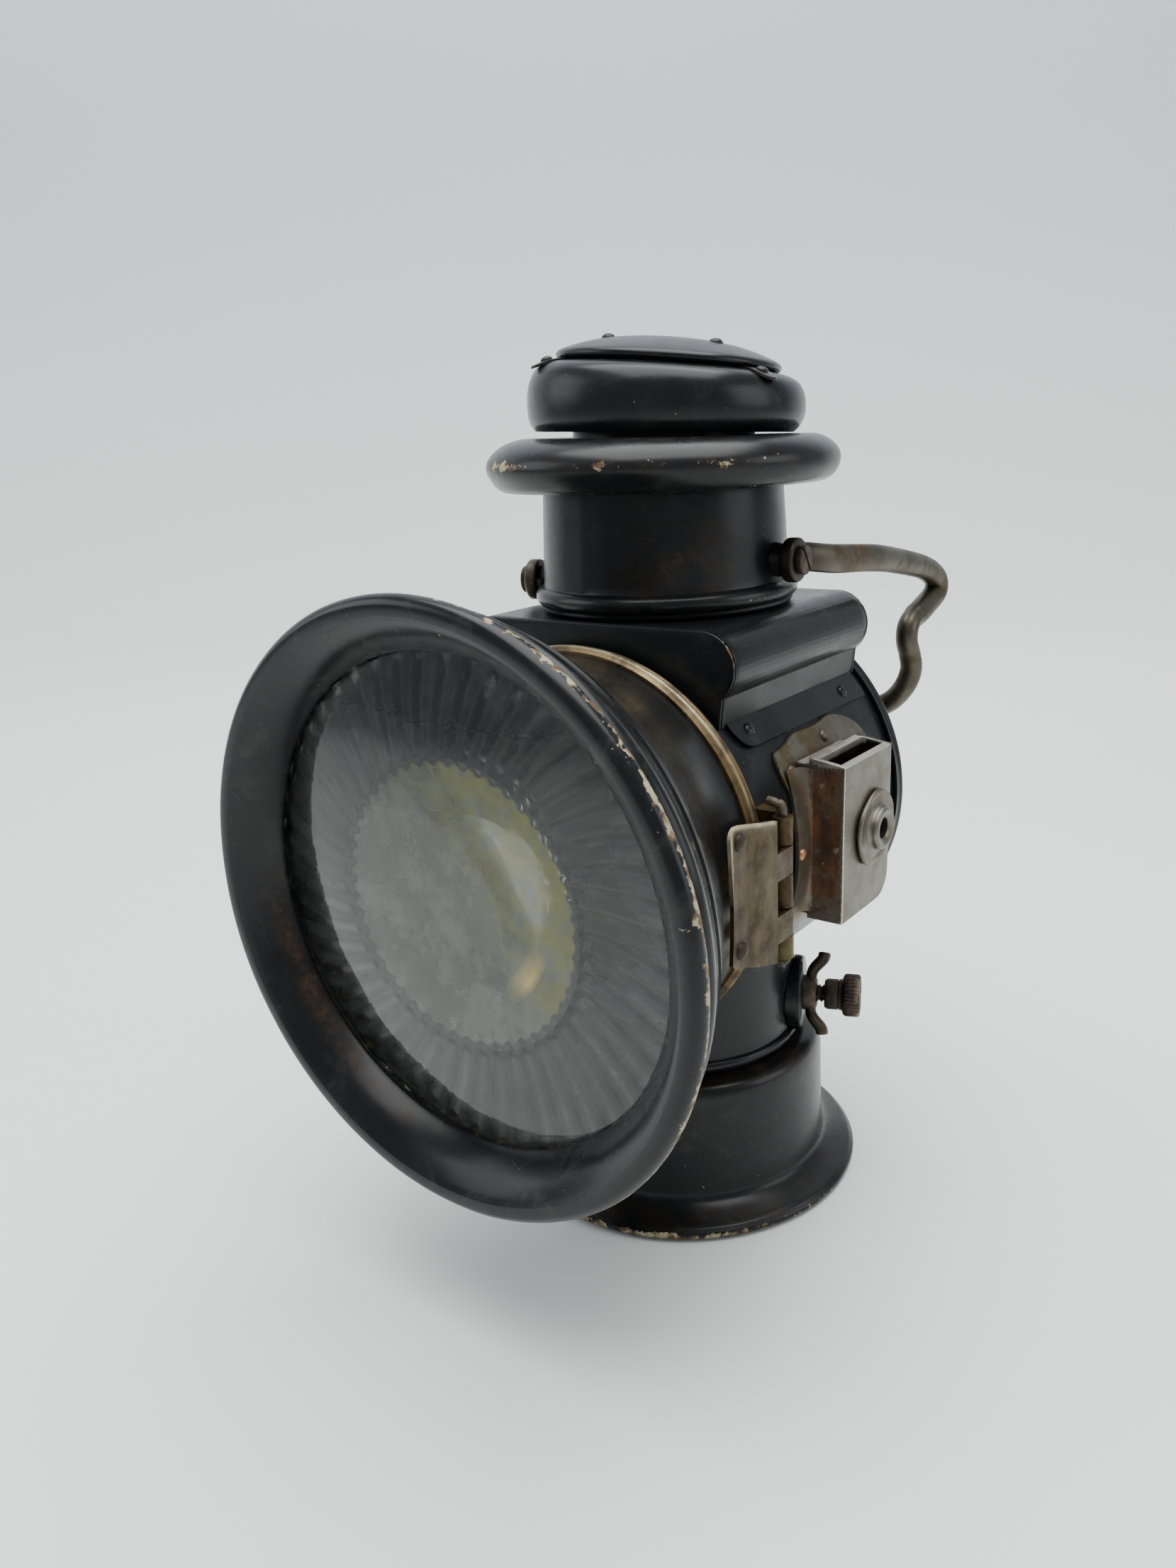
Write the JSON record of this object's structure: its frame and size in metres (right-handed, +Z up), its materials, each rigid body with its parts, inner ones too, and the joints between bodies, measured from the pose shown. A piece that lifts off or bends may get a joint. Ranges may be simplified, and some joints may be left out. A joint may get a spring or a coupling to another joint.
{
  "type": "carbide lamp",
  "caption": "Antique projector lamp: round barrel, hinged bull's-eye door with flared hood, tiered chimney, rear handle, side bracket socket and drop-out foot.",
  "frame": {"origin": "centre of the foot, on the flat base plate that the lamp stands on", "axes": "+Z up, the lamp throws its light along -Y, the door hinge and the bracket socket are on +X"},
  "size_m": [0.179, 0.2329, 0.2883],
  "materials": {
    "japan_black": "satin black japan over tinplate, scratched and dulled",
    "japan_worn": "black japan chipped to bare brownish metal along its edges",
    "ring_brass": "rubbed brass, browned in the hollows",
    "aged_brass": "brown aged brass, streaked",
    "nickel": "dull nickel plate, brown and rusty in patches",
    "rusty_steel": "dark brown rusted steel",
    "tinplate": "tinned sheet, cloudy, yellow tarnish",
    "copper": "copper coloured rivet",
    "steatite": "unglazed off-white steatite",
    "felt": "grey felt",
    "pressed_glass": "clear pressed glass, faintly grey-green"
  },
  "bodies": {
    "lamp_body": {"barrel_shell": "japan_black", "rear_cover": "japan_black", "saddle_shell": "japan_black", "saddle_front_plate": "japan_black", "saddle_rear_plate": "japan_black", "chimney": "japan_black", "vent_tube": "japan_black", "upper_canopy": "japan_black", "top_cap": "japan_black", "handle_lug_right": "japan_black", "handle_lug_left": "japan_black", "neck": "japan_black", "saddle_rivet_right_front": "japan_black", "saddle_rivet_right_rear": "japan_black", "saddle_rivet_left_front": "japan_black", "saddle_rivet_left_rear": "japan_black", "lower_canopy": "japan_worn", "cap_clip_1": "japan_worn", "cap_clip_2": "japan_worn", "cap_clip_3": "japan_worn", "cap_rivet_1": "japan_worn", "cap_rivet_2": "japan_worn", "cap_rivet_3": "japan_worn", "clamp_boss": "japan_worn", "barrel_front_ring": "ring_brass", "drip_nozzle": "aged_brass", "gas_pipe": "aged_brass", "hinge_leaf_rear": "aged_brass", "catch_stud": "aged_brass", "handle": "nickel", "socket_plate": "nickel", "bracket_socket": "nickel", "socket_boss": "nickel", "socket_rivet_front": "nickel", "socket_rivet_top": "nickel", "handle_screw_right": "rusty_steel", "handle_screw_left": "rusty_steel", "hinge_pin": "rusty_steel", "water_tank": "tinplate", "reflector": "tinplate", "socket_rivet_side": "copper", "burner": "steatite"},
    "door": {"door_drum": "japan_black", "hood_rim": "japan_worn", "lens": "pressed_glass", "lens_retaining_ring": "aged_brass", "hinge_leaf_front": "aged_brass", "catch_tongue": "aged_brass"},
    "foot": {"foot_skirt": "japan_worn", "base_plate": "japan_worn", "carbide_pot": "tinplate", "pot_lid": "aged_brass", "filter_felt": "felt"},
    "clamp_screw": {"clamp_screw_shank": "rusty_steel"},
    "clamp_head": {"clamp_knob": "rusty_steel"},
    "clamp_wing_nut": {"wing_nut": "rusty_steel"}
  },
  "joints": [
    {"name": "door_swing", "type": "hinge", "parent": "lamp_body", "child": "door", "pos_m": [0.0695, -0.0482, 0.1325], "axis": [0, 0, 1], "range_deg": [0, 110]},
    {"name": "foot_drop", "type": "slide", "parent": "lamp_body", "child": "foot", "axis": [0, 0, -1], "range_m": [0, 0.07]},
    {"name": "clamp_screw_travel", "type": "slide", "parent": "lamp_body", "child": "clamp_screw", "axis": [0.9272, 0.3746, 0], "range_m": [0, 0.003]},
    {"name": "clamp_knob_turn", "type": "hinge", "parent": "clamp_screw", "child": "clamp_head", "pos_m": [0.05749, 0.02323, 0.0644], "axis": [0.9272, 0.3746, 0], "range_deg": [0, 720]},
    {"name": "wing_nut_turn", "type": "hinge", "parent": "clamp_screw", "child": "clamp_wing_nut", "pos_m": [0.04451, 0.01798, 0.0644], "axis": [0.9272, 0.3746, 0], "range_deg": [0, 360]}
  ],
  "couplings": [
    {"joint": "clamp_screw_travel", "follows": "clamp_knob_turn", "m_per_rad": 0.00020213}
  ]
}
